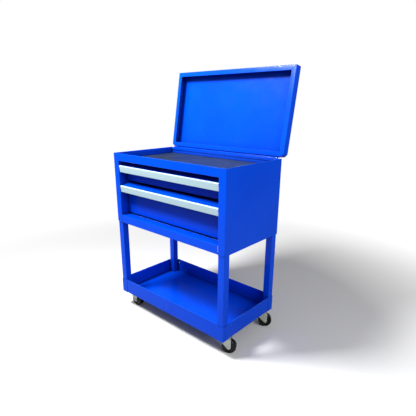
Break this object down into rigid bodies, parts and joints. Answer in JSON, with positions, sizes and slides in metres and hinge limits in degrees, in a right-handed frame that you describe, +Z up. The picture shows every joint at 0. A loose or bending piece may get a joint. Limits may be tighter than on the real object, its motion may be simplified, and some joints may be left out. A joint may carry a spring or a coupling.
{
  "type": "rolling tool chest",
  "caption": "Wheeled steel tool chest: a lift-up lid over a matted compartment, sliding drawers with full-width pulls, and an open tray below on corner legs and swivel casters.",
  "frame": {"origin": "middle of the upper face of the bottom tray's floor, centred between the four casters", "axes": "+Z up, -Y the side the drawers open towards, +X to the right seen from that side"},
  "size_m": [0.5771, 0.3901, 0.9623],
  "materials": {
    "paint": "high gloss powder coat, bright blue",
    "trim": "satin anodised",
    "mat": "matte, finely ribbed",
    "zinc": "yellowish zinc plate",
    "wheel": "glossy black"
  },
  "bodies": {
    "cabinet": {"back_left_caster_plate": "zinc", "back_left_kingpin": "zinc", "back_left_leg": "paint", "back_left_tray_bolt": "zinc", "back_panel": "paint", "back_right_caster_plate": "zinc", "back_right_kingpin": "zinc", "back_right_leg": "paint", "back_right_tray_bolt": "zinc", "bottom_panel": "paint", "bottom_rail": "paint", "bottom_tray": "paint", "compartment_floor": "paint", "front_left_caster_plate": "zinc", "front_left_kingpin": "zinc", "front_left_leg": "paint", "front_left_tray_bolt": "zinc", "front_right_caster_plate": "zinc", "front_right_kingpin": "zinc", "front_right_leg": "paint", "front_right_tray_bolt": "zinc", "hinge_leaf_cabinet": "paint", "hinge_pin": "zinc", "left_side_panel": "paint", "left_slide_wall": "paint", "lower_left_cabinet_rail": "zinc", "lower_right_cabinet_rail": "zinc", "right_side_panel": "paint", "right_slide_wall": "paint", "rubber_mat": "mat", "top_rail": "paint", "upper_left_cabinet_rail": "zinc", "upper_right_cabinet_rail": "zinc"},
    "lid": {"lid": "paint", "hinge_leaf_lid": "paint"},
    "upper_drawer": {"upper_drawer_box": "paint", "upper_drawer_front": "paint", "upper_pull_trim": "trim", "upper_left_drawer_rail": "zinc", "upper_right_drawer_rail": "zinc"},
    "lower_drawer": {"lower_drawer_box": "paint", "lower_drawer_front": "paint", "lower_pull_trim": "trim", "lower_left_drawer_rail": "zinc", "lower_right_drawer_rail": "zinc"},
    "front_left_fork": {"front_left_fork": "zinc", "front_left_axle": "zinc"},
    "front_left_wheel": {"front_left_wheel": "wheel"},
    "front_right_fork": {"front_right_fork": "zinc", "front_right_axle": "zinc"},
    "front_right_wheel": {"front_right_wheel": "wheel"},
    "back_left_fork": {"back_left_fork": "zinc", "back_left_axle": "zinc"},
    "back_left_wheel": {"back_left_wheel": "wheel"},
    "back_right_fork": {"back_right_fork": "zinc", "back_right_axle": "zinc"},
    "back_right_wheel": {"back_right_wheel": "wheel"}
  },
  "joints": [
    {"name": "lid_hinge", "type": "hinge", "parent": "cabinet", "child": "lid", "pos_m": [0, 0.1565, 0.5883], "axis": [1, 0, 0], "range_deg": [0, 99.5]},
    {"name": "upper_drawer_slide", "type": "slide", "parent": "cabinet", "child": "upper_drawer", "axis": [0, -1, 0], "range_m": [0, 0.19]},
    {"name": "lower_drawer_slide", "type": "slide", "parent": "cabinet", "child": "lower_drawer", "axis": [0, -1, 0], "range_m": [0, 0.19]},
    {"name": "front_left_swivel", "type": "hinge", "parent": "cabinet", "child": "front_left_fork", "pos_m": [-0.251, -0.1117, -0.011], "axis": [0, 0, 1], "continuous": true},
    {"name": "front_left_wheel_spin", "type": "hinge", "parent": "front_left_fork", "child": "front_left_wheel", "pos_m": [-0.23071, -0.11106, -0.0414], "axis": [-0.0314, 0.9995, 0], "continuous": true},
    {"name": "front_right_swivel", "type": "hinge", "parent": "cabinet", "child": "front_right_fork", "pos_m": [0.251, -0.1117, -0.011], "axis": [0, 0, 1], "continuous": true},
    {"name": "front_right_wheel_spin", "type": "hinge", "parent": "front_right_fork", "child": "front_right_wheel", "pos_m": [0.26887, -0.10208, -0.0414], "axis": [-0.4741, 0.8805, 0], "continuous": true},
    {"name": "back_left_swivel", "type": "hinge", "parent": "cabinet", "child": "back_left_fork", "pos_m": [-0.251, 0.1117, -0.011], "axis": [0, 0, 1], "continuous": true},
    {"name": "back_left_wheel_spin", "type": "hinge", "parent": "back_left_fork", "child": "back_left_wheel", "pos_m": [-0.23192, 0.11864, -0.0414], "axis": [-0.342, 0.9397, 0], "continuous": true},
    {"name": "back_right_swivel", "type": "hinge", "parent": "cabinet", "child": "back_right_fork", "pos_m": [0.251, 0.1117, -0.011], "axis": [0, 0, 1], "continuous": true},
    {"name": "back_right_wheel_spin", "type": "hinge", "parent": "back_right_fork", "child": "back_right_wheel", "pos_m": [0.26715, 0.124, -0.0414], "axis": [-0.606, 0.7955, 0], "continuous": true}
  ]
}
